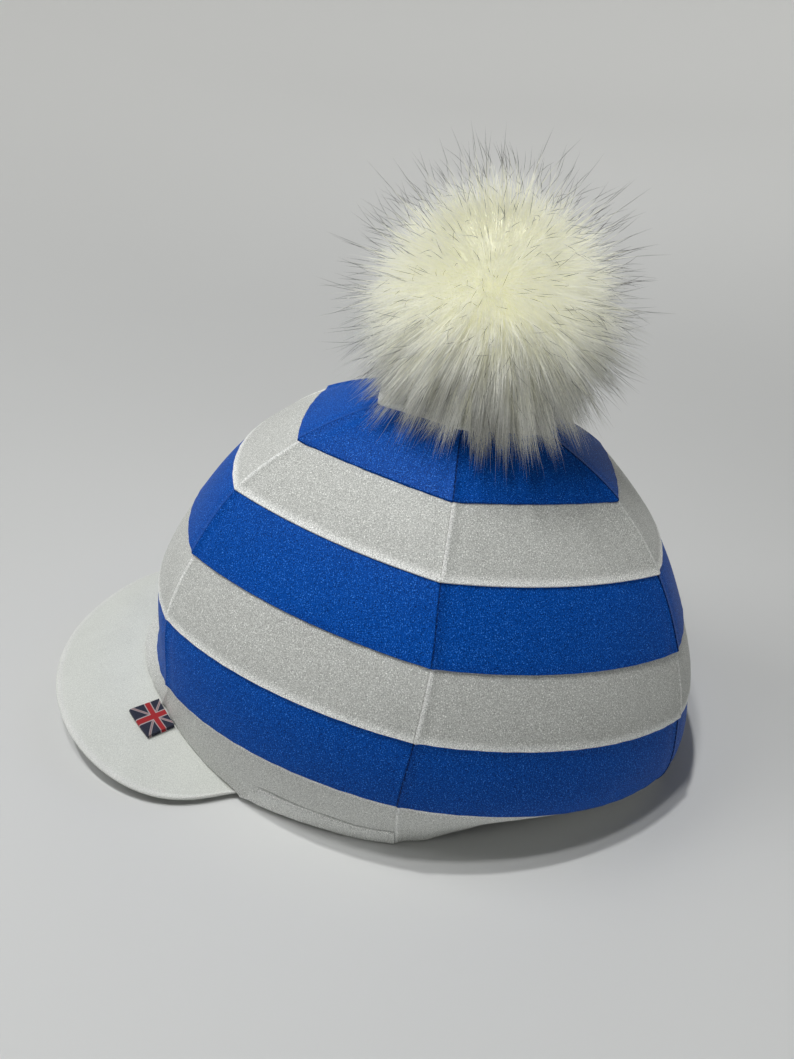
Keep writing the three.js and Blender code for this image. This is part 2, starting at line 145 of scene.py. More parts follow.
def set_values(piece, name, values):
    """Stores a number for each point, or one for all, for the piece's material to read."""
    layer = piece.data.attributes.new(name, "FLOAT", "POINT")
    layer.data.foreach_set("value", np.full(len(piece.data.vertices), values, np.float32))


def set_map(piece, across, down):
    """Stores a flat map of the cloth, in metres, for patterns that follow the surface."""
    layer = piece.data.uv_layers.new(name="cloth")
    corner = np.zeros(len(piece.data.loops), np.int32)
    piece.data.loops.foreach_get("vertex_index", corner)
    flat = np.stack([across.ravel(), down.ravel()], axis=-1)
    layer.data.foreach_set("uv", flat[corner].astype(np.float32).ravel())


def smooth_step(value, low, high):
    """0 below low, 1 above high, and the soft curve 3t^2 - 2t^3 between them."""
    t = np.clip((value - low) / (high - low), 0, 1)
    return t * t * (3 - 2 * t)


def mound(value, middle, width):
    """A rounded mound of height 1: exp(-((value - middle) / width)^2)."""
    return np.exp(-((value - middle) / width) ** 2)


# %% [markdown]
# ## Shader formulas
# A material's nodes are easier to read as arithmetic than as a diagram. Wrapping a
# socket in a class lets a line such as `1 - mask * 0.4` add the Math nodes itself.

# %% Shader helpers
class Finish:
    """A material, with one method that adds any node to it."""

    def __init__(self, name, **constants):
        self.material = bpy.data.materials.new(name)
        self.material.use_nodes = True
        self.tree = self.material.node_tree
        self.surface = self.tree.nodes["Principled BSDF"]
        for socket, value in constants.items():
            self.surface.inputs[socket.replace("_", " ")].default_value = value

    def node(self, kind, settings=None, output=0, **sockets):
        """Adds a node with settings, then fills sockets by name, or by number as n0, n1."""
        made = self.tree.nodes.new("ShaderNode" + kind)
        for name, value in (settings or {}).items():
            setattr(made, name, value)
        for name, value in sockets.items():
            socket = made.inputs[int(name[1:]) if name[1:].isdigit() else name.replace("_", " ")]
            if isinstance(value, Value):
                self.tree.links.new(value.socket, socket)
            else:
                socket.default_value = value
        return Value(self, made.outputs[output])

    def feed(self, name, value):
        """Links a value to a socket of the surface shader."""
        self.tree.links.new(value.socket, self.surface.inputs[name])

    def mix(self, share, first, second):
        """The colour that lies a share of the way from the first to the second."""
        return self.node("Mix", {"data_type": "RGBA"}, 2, n0=share, n6=first, n7=second)

    def scaled(self, colour, share):
        """The colour times a share."""
        grey = self.node("CombineColor", Red=share, Green=share, Blue=share)
        settings = {"data_type": "RGBA", "blend_type": "MULTIPLY"}
        return self.node("Mix", settings, 2, n0=1.0, n6=colour, n7=grey)

    def step(self, value, low, high):
        """0 below low and 1 above high, with a soft curve between."""
        return self.node(
            "MapRange", {"interpolation_type": "SMOOTHSTEP"},
            Value=value, From_Min=low, From_Max=high)

    def close_to(self, distance, near, far):
        """1 up to the near distance and 0 beyond the far one."""
        return 1 - self.step(distance, near, far)

    def noise(self, place, scale, detail=2.0):
        """Cloudy values from 0 to 1, about 1 / scale metres apart."""
        return self.node("TexNoise", Vector=place, Scale=scale, Detail=detail)

    def stored(self, name):
        """A number that the mesh stores at each point."""
        return self.node("Attribute", {"attribute_name": name}, 2)

    def flat_place(self):
        """Both coordinates of the cloth's flat map."""
        parts = self.node("SeparateXYZ", Vector=self.node("UVMap", {"uv_map": "cloth"}))
        return parts, Value(self, parts.socket.node.outputs[1])


class Value:
    """A socket of a finish, so that arithmetic on it adds Math nodes."""

    def __init__(self, finish, socket):
        self.finish, self.socket = finish, socket

    def math(self, operation, first, second=0.0):
        return self.finish.node("Math", {"operation": operation}, n0=first, n1=second)

    def __add__(self, other):
        return self.math("ADD", self, other)

    def __sub__(self, other):
        return self.math("SUBTRACT", self, other)

    def __rsub__(self, other):
        return self.math("SUBTRACT", other, self)

    def __mul__(self, other):
        return self.math("MULTIPLY", self, other)

    __radd__, __rmul__ = __add__, __mul__

    def sine(self):
        return self.math("SINE", self)

    def size(self):
        return self.math("ABSOLUTE", self)

    def above(self, other):
        return self.math("GREATER_THAN", self, other)

    def least(self, other):
        return self.math("MINIMUM", self, other)

    def most(self, other):
        return self.math("MAXIMUM", self, other)


# %% [markdown]
# ## Stretch cloth
# The cover is a satin stretch knit. Close to, it glitters with grains about half a
# millimetre wide, because each loop of yarn tilts its own way; here those glints are painted
# into the colour as paler specks, and the grain's light and dark is partly painted glitter.
# The creases of the gore seams and the casing's groove get painted shade. White cloth is
# thin enough to look grey where it is one layer over the dark inside, and brighter where a
# seam allowance lies behind it.

# %% Cloth finishes
GRAIN_SCALE, CLOUD_SCALE = 2100, 45  # per metre
KNIT_WAVES, STITCH_WAVES = 7800, 2600  # radians per metre of cloth
SEAM_BAND_SHARE, CASING_SHARE = 0.9, 0.7  # how much a second layer brightens the cloth
CASING_CREASE_SHADE, PAINTED_GLINT_SHARE = 0.35, 0.55


def stretch_cloth(name, plain, doubled, thread, painted_glint, grain_and_glint, seam_shade, gloss):
    """Satin knit. The grain multiplies the colour and paints glints into it; seam bands,
    stitches and the painted shade of seam creases follow the distances that the mesh stores,
    in metres: from_side, from_band, from_fold. The stored value doubled is the share of a
    second layer."""
    finish = Finish(name, Specular_IOR_Level=gloss)
    place = finish.node("TexCoord", output=3)
    across, down = finish.flat_place()
    side, rolled, fold, layered = (
        finish.stored(n) for n in ("from_side", "from_band", "from_fold", "doubled"))

    grain = finish.noise(place, GRAIN_SCALE, 1.2)
    cloud = finish.noise(place, CLOUD_SCALE)
    knit = (down * KNIT_WAVES).sine() * 0.5 + 0.5
    sparkle = finish.step(grain, 0.58, 0.78)

    low_band = finish.close_to(rolled, 0.001, 0.005) * SEAM_BAND_SHARE
    side_band = finish.close_to(side, 0.001, 0.0026) * SEAM_BAND_SHARE
    casing = finish.close_to(fold, -0.0004, 0.0004) * CASING_SHARE
    band = layered.most(low_band).most(side_band).most(casing)
    body = finish.mix(band, plain, doubled)
    stitch = (down * STITCH_WAVES).sine().above(-0.2)
    casing_thread = finish.close_to((fold + 0.0006).size(), 0.0002, 0.0005)
    casing_stitch = casing_thread * (across * STITCH_WAVES).sine().above(-0.4)
    body = finish.mix(casing_stitch * 0.8, body, thread)
    # Painted glints: the brightest grains are mixed towards a paler colour.
    body = finish.mix(sparkle * grain_and_glint * PAINTED_GLINT_SHARE, body, painted_glint)
    # Painted shade in the crease of each gore seam, darker where the stitches lie, and painted
    # shade along the casing's groove.
    seam_crease_shade = finish.close_to(side, 0.0002, 0.001) * (stitch * 0.35 + 0.65) * seam_shade
    seam_crease_shade = seam_crease_shade + finish.close_to((fold - 0.0008).size(), 0.0003, 0.0009) * CASING_CREASE_SHADE
    # The grain and cloud vary the knit's own tone, the grain partly as painted glitter, and the
    # painted seam shade darkens it.
    shade = (1 + (grain - 0.5) * (1.9 * grain_and_glint) + (cloud - 0.5) * 0.14) * (1 - seam_crease_shade)
    finish.feed("Base Color", finish.scaled(body, shade))
    finish.feed("Roughness", 0.52 - sparkle * 0.16)
    relief = grain * 0.5 + knit * 0.12 + casing_stitch
    finish.feed("Normal", finish.node("Bump", Strength=0.3, Distance=0.0002, Height=relief))
    return finish.material


# Each cloth's glint colour is a painted glint, and its seam_shade is painted shade in the seam
# creases.
WHITE_CLOTH = stretch_cloth(
    "white_stretch_cloth", plain=(0.53, 0.54, 0.515, 1), doubled=(0.82, 0.83, 0.805, 1),
    thread=(0.86, 0.86, 0.84, 1), painted_glint=(0.88, 0.88, 0.86, 1),
    grain_and_glint=0.95, seam_shade=0.22, gloss=0.12)
BLUE_CLOTH = stretch_cloth(
    "blue_stretch_cloth", plain=(0.0015, 0.068, 0.37, 1), doubled=(0.0015, 0.06, 0.34, 1),
    thread=(0.0015, 0.02, 0.26, 1), painted_glint=(0.05, 0.2, 0.55, 1),
    grain_and_glint=1.5, seam_shade=0.78, gloss=0.06)
print("cloth finishes:", WHITE_CLOTH.name, BLUE_CLOTH.name)

# %% [markdown]
# ## The crown's form
# The crown is a rounded form cut by hoop seams. Each hoop is a pair of half ellipses,
# wider behind or in front, that leans down towards the back. Between the gore seams the
# cloth is pulled nearly straight high up and lies full at the hem. The table repeats
# the CAD source's numbers, so each piece here lies in the place of its solid.

# %% Crown table
CROWN_LENGTH, CROWN_WIDTH, CROWN_HEIGHT = 290, 247, 181
CLOTH_WALL, HEM_WALL, STRIPE_STEP, SEW_GAP = 1.8, 3, 1, 0.3
CLOSE_GAP = 0.01  # left on each side of a seam here, where the thread pulls the cloth shut
POLE_BACK = 13
CAP_BACK = 30.87  # from the crown's middle to the middle of the whole cap
BROW_HEIGHT, BROW_FLAT_ANGLE, BROW_END_ANGLE = 30, 24, 66
HEM_FOOT_SHARE, HEM_ARCH_POWER = 0.13, 0.7
OUTWARD_CENTRE = 0.3  # share of the crown's height
# Each row: half width, reach in front, reach behind, middle (shares of half the crown's
# width or length), heights at the front, side and back (shares of its height), fullness
HOOPS = np.array([
    (0.289, 0.322, 0.321, 0.064, 0.964, 0.944, 0.904, 0.15),
    (0.531, 0.593, 0.585, 0.058, 0.899, 0.831, 0.78, 0.2),
    (0.736, 0.79, 0.765, 0.046, 0.795, 0.701, 0.621, 0.48),
    (0.895, 0.93, 0.874, 0.041, 0.637, 0.548, 0.43, 0.63),
    (0.988, 1.002, 0.958, 0.013, 0.45, 0.391, 0.24, 0.8),
    (1, 0.984, 0.968, -0.023, 0.234, 0.203, 0.022, 0.88),
    (0.895, 1.035, 0.868, -0.028, 0, 0, 0, 1),
])
HEM_EDGE = len(HOOPS) - 1
# Each gore: first and last angle from the front, the hem's rise in mm and its fullness
GORES = {
    "front": (-35, 35, 0, 1),
    "front_left": (35, 90, 2, 1),
    "back_left": (90, 149, 5, 0.5),
    "back": (149, 211, 1.5, 0.8),
    "back_right": (211, 270, 5, 0.5),
    "front_right": (270, 325, 2, 1),
}
STRIPES = ["crown_tip", "blue_1", "white_1", "blue_2", "white_2", "blue_3", "hem"]


# %% Crown formulas
def hoop_plan(hoop, angle):
    """A hoop's plan: two half ellipses that share a width, x = w sin a, y = m - r cos a."""
    half_width, front, back, middle = HOOPS[hoop, :4]
    turn = np.radians(angle)
    reach = np.where(np.cos(turn) > 0, front, back) * CROWN_LENGTH / 2
    return np.stack([
        half_width * CROWN_WIDTH / 2 * np.sin(turn),
        middle * CROWN_LENGTH / 2 - reach * np.cos(turn)], axis=-1)


def hem_height(angle, rise, share):
    """The hem's lower edge: a cosine rise over the brow, feet at the seams, a low arch."""
    from_front = np.abs(np.where(angle > 180, angle - 360, angle))
    fall = np.clip((from_front - BROW_FLAT_ANGLE) / (BROW_END_ANGLE - BROW_FLAT_ANGLE), 0, 1)
    along = np.clip((share - HEM_FOOT_SHARE) / (1 - 2 * HEM_FOOT_SHARE), 0, 1)
    arch = np.sin(np.pi * along).clip(0) ** HEM_ARCH_POWER
    return BROW_HEIGHT * 0.5 * (1 + np.cos(np.pi * fall)) + rise * arch


def hoop_point(hoop, gore, share):
    """A hoop seam's points at shares of the way across a gore. The height follows the
    lean l of the plan: side + slope l + bow l^2."""
    start, end, rise, hem_fullness = GORES[gore]
    half_width, front, back, middle, z_front, z_side, z_back, fullness = HOOPS[hoop]
    share = np.asarray(share, float)
    angle = start + (end - start) * share
    first, last = hoop_plan(hoop, start), hoop_plan(hoop, end)
    straight = first + (last - first) * share[..., None]
    full = hem_fullness if hoop == HEM_EDGE else fullness
    plan = straight + (hoop_plan(hoop, angle) - straight) * full
    if hoop == HEM_EDGE:
        height = hem_height(angle, rise, share)
    else:
        ahead = middle * CROWN_LENGTH / 2 - plan[..., 1]
        lean = ahead / (np.where(ahead > 0, front, back) * CROWN_LENGTH / 2)
        bow = (z_front + z_back) / 2 - z_side
        height = CROWN_HEIGHT * (z_side + (z_front - z_back) / 2 * lean + bow * lean ** 2)
    return np.concatenate([plan, height[..., None]], axis=-1)


POLE = np.array([0, POLE_BACK, CROWN_HEIGHT], float)
TIP_LEAN = math.atan2(
    (HOOPS[0, 4] - HOOPS[0, 6]) * CROWN_HEIGHT, (HOOPS[0, 1] + HOOPS[0, 2]) * CROWN_LENGTH / 2)
TIP_AXIS = np.array([0, math.sin(TIP_LEAN), math.cos(TIP_LEAN)])
HOLE_RADIUS = 3.5


def meridian(gore, share):
    """Lines down the crown: the tip's hole, each hoop seam, and one more point past each
    end, mirrored so that the line leaves the tip level and the hem straight."""
    start, end = GORES[gore][:2]
    turn = np.radians(start + (end - start) * share)
    hoops = [hoop_point(number, gore, share) for number in range(len(HOOPS))]
    outward = np.stack([
        np.sin(turn), -np.cos(turn) * TIP_AXIS[2], np.cos(turn) * TIP_AXIS[1]], axis=-1)
    hole = POLE + HOLE_RADIUS * outward
    from_pole = hoops[0] - POLE
    beyond = POLE - from_pole + 2 * (from_pole @ TIP_AXIS)[..., None] * TIP_AXIS
    below = 2 * hoops[-1] - hoops[-2]
    return [beyond, hole, *hoops, below]


def slope_at(before, here, after):
    """Slope of the curve through three points, weighted by their distances."""
    back, ahead = here - before, after - here
    long_back = np.linalg.norm(back, axis=-1, keepdims=True)
    long_ahead = np.linalg.norm(ahead, axis=-1, keepdims=True)
    weighted = back * long_ahead / long_back + ahead * long_back / long_ahead
    return weighted / (long_back + long_ahead)


def crown_point(gore, stripe, share, down):
    """The smooth outside: a Hermite curve from the seam above to the seam below."""
    line = meridian(gore, share)
    before, top, bottom, after = line[stripe:stripe + 4]
    length = np.linalg.norm(bottom - top, axis=-1, keepdims=True)
    t = np.asarray(down, float)[..., None]
    return (
        top * (2 * t ** 3 - 3 * t ** 2 + 1)
        + slope_at(before, top, bottom) * length * (t ** 3 - 2 * t ** 2 + t)
        + bottom * (3 * t ** 2 - 2 * t ** 3)
        + slope_at(top, bottom, after) * length * (t ** 3 - t ** 2)
    )


def outward_at(points, levelling):
    """Outward direction of a rounded form, the same for neighbours along a seam."""
    centre = CROWN_HEIGHT * OUTWARD_CENTRE
    out = np.stack([
        points[..., 0] / (CROWN_WIDTH / 2) ** 2,
        points[..., 1] / (CROWN_LENGTH / 2) ** 2,
        (1 - levelling) * (points[..., 2] - centre) / (CROWN_HEIGHT - centre) ** 2], axis=-1)
    return out / np.linalg.norm(out, axis=-1, keepdims=True)


def placed(points):
    """From millimetres about the crown's middle to metres about the whole cap's middle."""
    return (points + np.array([0, CAP_BACK, 0])) * MM


# %% [markdown]
# ## Stripes of the crown
# Each stripe is a sheet of cloth held stretched between its seams. Its lower edge lies
# over the stripe below and rolls in, a welt of seam allowance lifts it beside each gore
# seam, and the thread draws small puckers into the hoop seams. All of that is a height
# added along the outward direction, so one formula serves all forty-two pieces.

# %% Stripe pieces
STRIPE_GRID, HEM_GRID = (49, 21), (57, 41)  # points across and down
SIDE_CROWDING, END_CROWDING, HEM_DOUBLED = 0.88, 0.85, 0.35
LOW_ROLL, SIDE_ROLL = 0.35, 0.2  # radii in mm
WELT_HEIGHT, NEAR_DIP, FAR_DIP, PUCKER_HEIGHT = 0.32, 0.35, 0.2, 0.09  # mm
CASING_START, CASING_LEAN = 0.455, 0.0032  # share across the gore, and more for each mm up
CASING_TOP, CASING_FALL, CASING_LIFT, CASING_STEP, NO_FOLD = 15, 3.5, 0.9, 1.2, 50.0  # mm


def seam_relief(side, far_side, low, top, phase):
    """Height in mm over the smooth form: rolled edges, a welt on one side of each gore
    seam and puckers that die away from the hoop seams. Distances are in mm."""
    def roll(distance, radius):
        inside = radius - np.minimum(distance, radius)
        return np.sqrt(radius ** 2 - inside ** 2) - radius

    welt = WELT_HEIGHT * mound(side, 0.9, 0.8)
    dip = -NEAR_DIP * mound(side, 5, 2.6) - FAR_DIP * mound(far_side, 3, 2.6)
    waves = np.sin(side * 0.62 + phase) + 0.7 * np.sin(side * 0.37 + 2.1 * phase)
    pucker = PUCKER_HEIGHT * waves * (np.exp(-low / 5) + np.exp(-top / 4))
    rolled = roll(low, LOW_ROLL) + roll(side, SIDE_ROLL) + roll(far_side, SIDE_ROLL)
    return rolled + welt + dip + pucker


def edge_spacing(count, crowding):
    """Shares from 0 to 1 that crowd towards both ends: t - c sin(2 pi t) / (2 pi)."""
    t = np.linspace(0, 1, count)
    return t - crowding * np.sin(2 * np.pi * t) / (2 * np.pi)


def stripe_sheet(stripe, gore):
    """One stripe of one gore as a thin wall of cloth."""
    number = STRIPES.index(stripe)
    is_hem = number == HEM_EDGE
    columns, rows = HEM_GRID if is_hem else STRIPE_GRID
    across = np.broadcast_to(edge_spacing(columns, SIDE_CROWDING), (rows, columns))
    step = np.broadcast_to(edge_spacing(rows, END_CROWDING)[:, None], (rows, columns))
    ends = [crown_point(gore, number, across, np.full_like(across, d)) for d in (0.0, 1.0)]
    height = np.linalg.norm(ends[1] - ends[0], axis=-1)
    down_edge = CLOSE_GAP / height
    down = down_edge + (1 - down_edge - (0 if is_hem else down_edge)) * step
    sides = [crown_point(gore, number, np.full_like(across, s), down) for s in (0.0, 1.0)]
    width = np.linalg.norm(sides[1] - sides[0], axis=-1)
    side_edge = CLOSE_GAP / width
    share = side_edge + (1 - 2 * side_edge) * across
    points = crown_point(gore, number, share, down)

    from_low, from_top = (1 - step) * height, step * height
    from_side, to_far_side = across * width, (1 - across) * width
    lift = -0.5 * STRIPE_STEP * (1 - down) if is_hem else STRIPE_STEP * (down - 0.5)
    wall = CLOTH_WALL + (HEM_WALL - CLOTH_WALL) * down if is_hem else CLOTH_WALL
    relief = seam_relief(from_side, to_far_side, from_low, from_top, number * 1.7 + len(gore))
    from_fold = np.full_like(share, NO_FOLD)
    if is_hem and gore in ("front_left", "front_right"):
        fold, from_fold = hem_fold(share if gore == "front_left" else 1 - share, from_low)
        relief = relief + fold
    out = outward_at(points, down if is_hem else 0)
    outer = points + out * (lift + relief)[..., None]
    inner = points + out * (lift - wall)[..., None]
    piece = closed_wall(f"cloth_{stripe}_{gore}", placed(outer), placed(inner))

    from_band = from_top if is_hem else from_low
    distances = {"from_side": from_side, "from_band": from_band, "from_fold": from_fold}
    for name, values in distances.items():
        set_values(piece, name, twice(values) * MM)
    set_values(piece, "doubled", HEM_DOUBLED if is_hem else 0)
    set_map(piece, twice(across * width) * MM, twice(step * height) * MM)
    is_blue = stripe.startswith("blue")
    piece.data.materials.append(BLUE_CLOTH if is_blue else WHITE_CLOTH)
    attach(piece, "root")
    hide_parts(f"{stripe}_{gore}")
    declare_sheet(outer)
    return piece


def hem_fold(along, from_low):
    """The casing of the two front side gores: its lower band is doubled, up to a line of
    stitches that starts with a small step behind the peak's end. Gives the height in mm
    and the distance over the line."""
    start = CASING_START + CASING_LEAN * from_low
    started = smooth_step(along, start, start + 0.012)
    line_height = CASING_TOP - CASING_FALL * smooth_step(along, 0.5, 0.95)
    doubled = 1 - smooth_step(from_low, line_height - 0.3, line_height + 0.5)
    groove = mound(from_low, line_height, 0.9)
    under_line = 1 - smooth_step(from_low, line_height, line_height + 3)
    step_height = mound(along, start, 0.018) * under_line
    fan = 0.4 * np.sin((along - start) * 110 + from_low * 0.25)
    creases = fan * mound(along, start, 0.06) * mound(from_low, 11, 6)
    lift = started * (CASING_LIFT * doubled - CASING_LIFT * groove)
    height = lift + CASING_STEP * step_height + creases
    return height, from_low - line_height + NO_FOLD * (1 - started)


def declare_sheet(grid):
    """Works out how large the flat cut was: its longest row and column, and its own area,
    but keeps none of them.
    """
    down_steps = np.linalg.norm(np.diff(grid, axis=0), axis=-1).sum(axis=0)
    across_steps = np.linalg.norm(np.diff(grid, axis=1), axis=-1).sum(axis=1)
    long_sides = (float(across_steps.max()) * MM, float(down_steps.max()) * MM)
    one, two = grid[1:, 1:] - grid[:-1, :-1], grid[1:, :-1] - grid[:-1, 1:]
    area = float(np.linalg.norm(np.cross(one, two), axis=-1).sum()) / 2 * MM ** 2
    area = min(area, math.prod(long_sides))


crown_pieces = [stripe_sheet(stripe, gore) for stripe in STRIPES for gore in GORES]
crown_faces = sum(len(piece.data.polygons) for piece in crown_pieces)
print("crown pieces:", len(crown_pieces), "with", crown_faces, "faces")

# %% [markdown]
# ## Peak
# The peak is a stiff leaf sewn under the brow and covered with the same white cloth,
# drawn smooth. Its root follows the hem and its outer edge is a rounded sweep, so the
# surface is the straight blend from one to the other with a little swell. The cover is
# closed in a narrow roll just inside the edge, with a fine line beside it.

# %% Peak
PEAK_HALF_WIDTH, PEAK_REACH, PEAK_WALL = 109, 47.5, 2.4
PEAK_TIP_HEIGHT, PEAK_END_HEIGHT, PEAK_SWELL, PEAK_END_WIDTH = 18, 4, 3, 0.8
PEAK_ROOT_ANGLE, PEAK_ROOT_DROP = 59, 0.55
SIDE_POWER, SWEEP_POWER, FALL_POWER, END_POWER = 1.08, 0.77, 4.3, 14
RIM_RADIUS, RIM_WALL, RIM_REACH, RIM_ROLL = 0.7, 1.5, 9, 0.15
MAP_HALF_WIDTH = 125
FAR_FROM_SEAM = 0.05  # metres


def brow_point(angle):
    """A point of the hem's outer lower edge, at an angle of the front three gores."""
    aside = np.abs(angle)
    start, end, rise, _ = GORES["front_left"]
    share = (aside - start) / (end - start)
    height = np.where(aside > start, hem_height(aside, rise, share), hem_height(aside, 0, 0.5))
    return np.concatenate([hoop_plan(HEM_EDGE, angle), height[..., None]], axis=-1)


def peak_surface(across, out):
    """The peak's top: out is 0 at the root under the hem and 1 at the outer edge.
    Edge: x = s W sin^1.08, y = y0 - sweep cos^0.77, z falls from the tip to the ends."""
    across, out = np.asarray(across, float), np.asarray(out, float)
    root = brow_point(across * PEAK_ROOT_ANGLE)
    root = root - outward_at(root, 1) * HEM_WALL / 2 - np.array([0, 0, PEAK_ROOT_DROP])
    end, brow = brow_point(np.array(float(PEAK_ROOT_ANGLE))), brow_point(np.array(0.0))
    turn = across * np.pi / 2
    side = np.abs(np.sin(turn)) ** SIDE_POWER
    narrowing = PEAK_HALF_WIDTH - end[0] - PEAK_END_WIDTH
    fall = side ** FALL_POWER
    edge = np.stack([
        np.sign(across) * (PEAK_HALF_WIDTH - narrowing * np.abs(across) ** END_POWER) * side,
        end[1] - (end[1] - brow[1] + PEAK_REACH) * np.cos(turn).clip(0) ** SWEEP_POWER,
        PEAK_TIP_HEIGHT + (PEAK_END_HEIGHT - PEAK_TIP_HEIGHT) * fall
        + PEAK_SWELL * side ** 2 * (1 - side ** 2)], axis=-1)
    points = root + (edge - root) * out[..., None]
    points[..., 2] += PEAK_SWELL * (4 * out * (1 - out)) ** 2 * (1 - across ** 2)
    return points


def peak_piece():
    """The covered peak as a closed wall with a rounded rim and a roll along its edge."""
    rows, columns = 41, 221
    across = np.broadcast_to(np.linspace(-1, 1, columns), (rows, columns))
    out = np.broadcast_to(np.sin(np.linspace(0, np.pi / 2, rows))[:, None], (rows, columns))
    top = peak_surface(across, out)
    whole = peak_surface(across, np.ones_like(out)) - peak_surface(across, np.zeros_like(out))
    reach = np.linalg.norm(whole, axis=-1)
    from_edge = (1 - out) * reach
    inside = RIM_RADIUS - np.minimum(from_edge, RIM_RADIUS)
    rounding = np.sqrt(RIM_RADIUS ** 2 - inside ** 2) - RIM_RADIUS
    roll = RIM_ROLL * mound(from_edge, 1.6, 0.8) - RIM_ROLL * mound(from_edge, 3, 0.4)
    seam_dip = -0.3 * mound(out * reach, 0, 2.5)
    upper, under = top.copy(), top.copy()
    upper[..., 2] += rounding + roll + seam_dip
    inward = smooth_step(from_edge, 0, RIM_REACH)
    thickness = RIM_WALL + (PEAK_WALL - RIM_WALL) * inward
    under[..., 2] += -thickness - rounding * 0.9
    piece = closed_wall("covered_peak", placed(upper), placed(under))
    for name in ("from_side", "from_fold"):
        set_values(piece, name, FAR_FROM_SEAM)
    set_values(piece, "from_band", twice(from_edge) * MM)
    set_values(piece, "doubled", 0)
    set_map(piece, twice(across * MAP_HALF_WIDTH) * MM, twice(out * reach) * MM)
    piece.data.materials.append(PEAK_CLOTH)
    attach(piece, "root")
    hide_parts("peak")
    return piece


PEAK_CLOTH = stretch_cloth(
    "peak_cloth", plain=(0.65, 0.67, 0.63, 1), doubled=(0.71, 0.72, 0.69, 1),
    thread=(0.8, 0.8, 0.78, 1), painted_glint=(0.8, 0.8, 0.78, 1),
    grain_and_glint=0.3, seam_shade=0.1, gloss=0.12)
covered_peak = peak_piece()
print("peak faces:", len(covered_peak.data.polygons))

# %% [markdown]
# ## Folded tag
# A short piece of woven ribbon is folded once and both ends are caught in the brow seam.
# It carries a traditional flag in navy, red and white. The ribbon is a wall carried
# along a flat U, and the flag is a few straight bands computed from the ribbon's map.

# %% Tag
TAG_WIDTH, TAG_LENGTH, TAG_WALL, TAG_FOLD_GAP = 16, 14.5, 0.6, 0.5
TAG_ANGLE, TAG_HEM_GAP, TAG_CURL = 38, 0.9, 0.25
WEAVE_WAVES = 260  # radians over half the ribbon's width


def ribbon_finish():
    """Woven flag. With u, v from -1 to 1: a cross where |u| or |v| is small, and
    diagonals where |u + v| or |u - v| is small."""
    finish = Finish("woven_ribbon", Roughness=0.75, Sheen_Weight=0.2)
    u, v = finish.flat_place()
    slant = (u + v).size().least((u - v).size())
    cross = u.size().least(v.size())

    def band(distance, width):
        return finish.close_to(distance, width - 0.02, width + 0.02)

    colour = finish.mix(band(slant, 0.1), (0.008, 0.012, 0.038, 1), (0.42, 0.36, 0.37, 1))
    colour = finish.mix(band(slant, 0.03) * 0.7, colour, (0.25, 0.03, 0.05, 1))
    colour = finish.mix(band(cross, 0.22), colour, (0.52, 0.46, 0.47, 1))
    colour = finish.mix(band(cross, 0.165), colour, (0.42, 0.008, 0.015, 1))
    weave = (u * WEAVE_WAVES).sine() * (v * WEAVE_WAVES).sine()
    finish.feed("Base Color", finish.scaled(colour, 0.95 + weave * 0.12))
    finish.feed("Normal", finish.node("Bump", Strength=0.5, Distance=0.0001, Height=weave))
    return finish.material


def tag_piece():
    """The ribbon lies on the peak: a U of two straight layers and a half circle."""
    middle = np.array(TAG_ANGLE / PEAK_ROOT_ANGLE)
    step = 0.01
    nearby = peak_surface(middle + step, 0.0) - peak_surface(middle - step, 0.0)
    per_mm_across = 2 * step / np.linalg.norm(nearby)
    per_mm_out = 1 / np.linalg.norm(peak_surface(middle, 1.0) - peak_surface(middle, 0.0))
    start = HEM_WALL / 2 + TAG_HEM_GAP
    low = SEW_GAP + 0.2
    mid_height = low + TAG_WALL + TAG_FOLD_GAP / 2
    bend = mid_height - low
    straight = np.linspace(start, start + TAG_LENGTH - bend, 14)
    turn = np.linspace(-np.pi / 2, np.pi / 2, 9)[1:-1]
    side = np.linspace(-0.5, 0.5, 25) * TAG_WIDTH
    curl = TAG_CURL * (side / (TAG_WIDTH / 2)) ** 2

    def folded(radius):
        """How far out and how high the ribbon lies, along its whole length."""
        out = np.concatenate([straight, straight[-1] + radius * np.cos(turn), straight[::-1]])
        level = np.full(len(straight), radius)
        return out, mid_height + np.concatenate([-level, radius * np.sin(turn), level])

    def layer(out, rise):
        across = middle + side[None, :] * per_mm_across + np.zeros((len(out), 1))
        points = peak_surface(across, out[:, None] * per_mm_out + np.zeros((1, len(side))))
        points[..., 2] += rise[:, None] + curl[None, :] * (rise[:, None] / (2 * mid_height))
        return points

    outer, inner = layer(*folded(bend)), layer(*folded(bend - TAG_WALL))
    piece = closed_wall("folded_tag", placed(outer), placed(inner))
    flag_u = np.broadcast_to(side[None, :] / (TAG_WIDTH / 2), outer.shape[:2])
    along = (folded(bend)[0] - start) / TAG_LENGTH
    flag_v = np.broadcast_to((along * 2 - 0.8)[:, None], outer.shape[:2])
    set_map(piece, twice(flag_u), twice(flag_v))
    piece.data.materials.append(ribbon_finish())
    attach(piece, "root")
    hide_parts("tag")
    return piece


folded_tag = tag_piece()
print("tag faces:", len(folded_tag.data.polygons))

# %% [markdown]
# ## Press stud
# The stud under the pompom is hidden, so its CAD solid stays and only gets the look of
# moulded plastic: a pale colour with a faint flow pattern.

# %% Press stud
def moulded_plastic():
    """Pale plastic whose colour and gloss drift a little."""
    finish = Finish("moulded_plastic", Coat_Weight=0.1)
    drift = finish.noise(finish.node("TexCoord", output=3), 220, 3)
    finish.feed("Base Color", finish.mix(drift, (0.62, 0.62, 0.6, 1), (0.74, 0.74, 0.71, 1)))
    finish.feed("Roughness", 0.3 + drift * 0.15)
    return finish.material


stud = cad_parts["pompom_press_stud"]
stud.data.materials.clear()
stud.data.materials.append(moulded_plastic())
